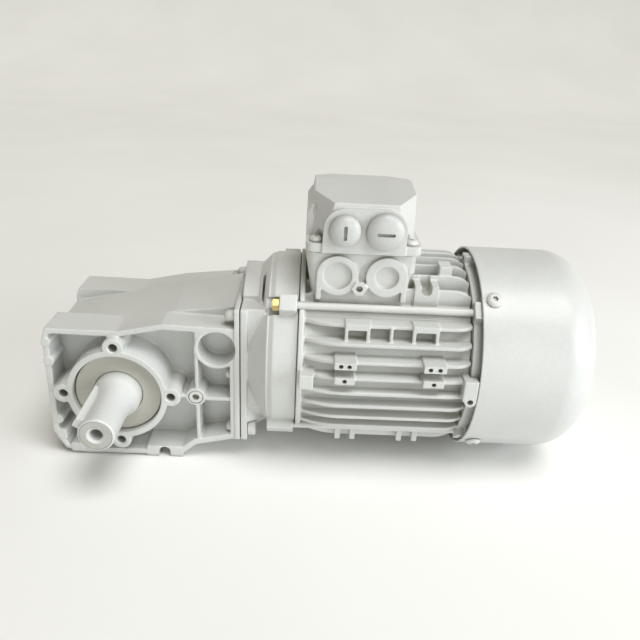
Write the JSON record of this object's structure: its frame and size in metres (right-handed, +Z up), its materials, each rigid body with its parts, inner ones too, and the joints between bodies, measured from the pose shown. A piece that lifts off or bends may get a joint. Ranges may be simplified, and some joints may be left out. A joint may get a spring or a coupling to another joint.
{
  "type": "right-angle gearmotor",
  "caption": "Right-angle gearmotor: finned electric motor with a round fan cover and a top terminal box driving a keyed cross shaft through a ribbed cast gearbox.",
  "frame": {"origin": "centre of the bounding box on the plane that the gearbox feet and bottom wall stand on", "axes": "+X along the motor shaft from the gearbox to the fan cover, +Z up through the terminal box, -Y out along the output shaft"},
  "size_m": [0.4002, 0.1845, 0.2114],
  "materials": {
    "painted_casting": "satin light-grey paint over die-cast aluminium",
    "painted_sheet": "satin light-grey paint over pressed steel",
    "painted_fastener": "light-grey paint over steel",
    "painted_shaft": "oversprayed ground steel",
    "nut_brass": "yellow-passivated",
    "steel": "ground",
    "seal_grey": "matte",
    "rubber": "matte",
    "cap_rubber": "matte",
    "plug_plastic": "moulded",
    "terminal_plastic": "moulded, with brass studs in the same solid",
    "fan_plastic": "moulded",
    "winding": "varnished copper wire end turns",
    "lamination": "stacked electrical steel",
    "cast_ring": "cast"
  },
  "bodies": {
    "frame": {"gear_housing": "painted_casting", "output_bearing_front": "steel", "output_bearing_rear": "steel", "output_shaft_seal": "seal_grey", "output_rear_cap": "cap_rubber", "intermediate_bearing_front": "steel", "intermediate_bearing_rear": "steel", "oil_plug": "painted_fastener", "flange_gasket": "rubber", "drive_end_shield": "painted_casting", "flange_screw_1": "painted_fastener", "flange_screw_2": "painted_fastener", "flange_screw_3": "painted_fastener", "flange_screw_4": "painted_fastener", "flange_screw_5": "painted_fastener", "flange_screw_6": "painted_fastener", "input_shaft_seal": "rubber", "front_motor_bearing": "steel", "tie_rod_1": "painted_fastener", "tie_rod_2": "painted_fastener", "tie_rod_3": "painted_fastener", "tie_rod_4": "painted_fastener", "tie_rod_nut_1": "nut_brass", "tie_rod_nut_2": "nut_brass", "tie_rod_nut_3": "nut_brass", "tie_rod_nut_4": "nut_brass", "stator_housing": "painted_casting", "terminal_box_lid": "painted_casting", "lid_screw_1": "painted_fastener", "lid_screw_2": "painted_fastener", "lid_screw_3": "painted_fastener", "lid_screw_4": "painted_fastener", "lid_gasket": "rubber", "blanking_plug_m16": "plug_plastic", "blanking_plug_m20": "plug_plastic", "terminal_block": "terminal_plastic", "stator_core": "lamination", "winding_front": "winding", "winding_rear": "winding", "rear_end_shield": "painted_casting", "rear_motor_bearing": "steel", "bearing_preload_washer": "steel", "fan_cover": "painted_sheet", "fan_cover_screw_1": "painted_fastener", "fan_cover_screw_2": "painted_fastener", "fan_cover_screw_3": "painted_fastener", "fan_cover_screw_4": "painted_fastener"},
    "output": {"output_shaft": "painted_shaft", "output_shaft_key": "steel", "output_gear": "steel"},
    "intermediate": {"intermediate_pinion_shaft": "steel", "bevel_gear": "steel"},
    "rotor": {"rotor_shaft": "steel", "bevel_pinion": "steel", "rotor_core": "lamination", "rotor_end_ring_front": "cast_ring", "rotor_end_ring_rear": "cast_ring", "cooling_fan": "fan_plastic", "fan_circlip": "steel"}
  },
  "joints": [
    {"name": "rotor_spin", "type": "hinge", "parent": "frame", "child": "rotor", "pos_m": [-0.0031, 0.0135, 0.083], "axis": [1, 0, 0], "continuous": true},
    {"name": "intermediate_spin", "type": "hinge", "parent": "frame", "child": "intermediate", "pos_m": [-0.1005, 0.0135, 0.083], "axis": [0, 1, 0], "continuous": true},
    {"name": "output_spin", "type": "hinge", "parent": "frame", "child": "output", "pos_m": [-0.1476, 0.0135, 0.0566], "axis": [0, 1, 0], "continuous": true}
  ],
  "couplings": [
    {"joint": "intermediate_spin", "follows": "rotor_spin", "ratio": -0.32353},
    {"joint": "output_spin", "follows": "rotor_spin", "ratio": 0.10258}
  ]
}
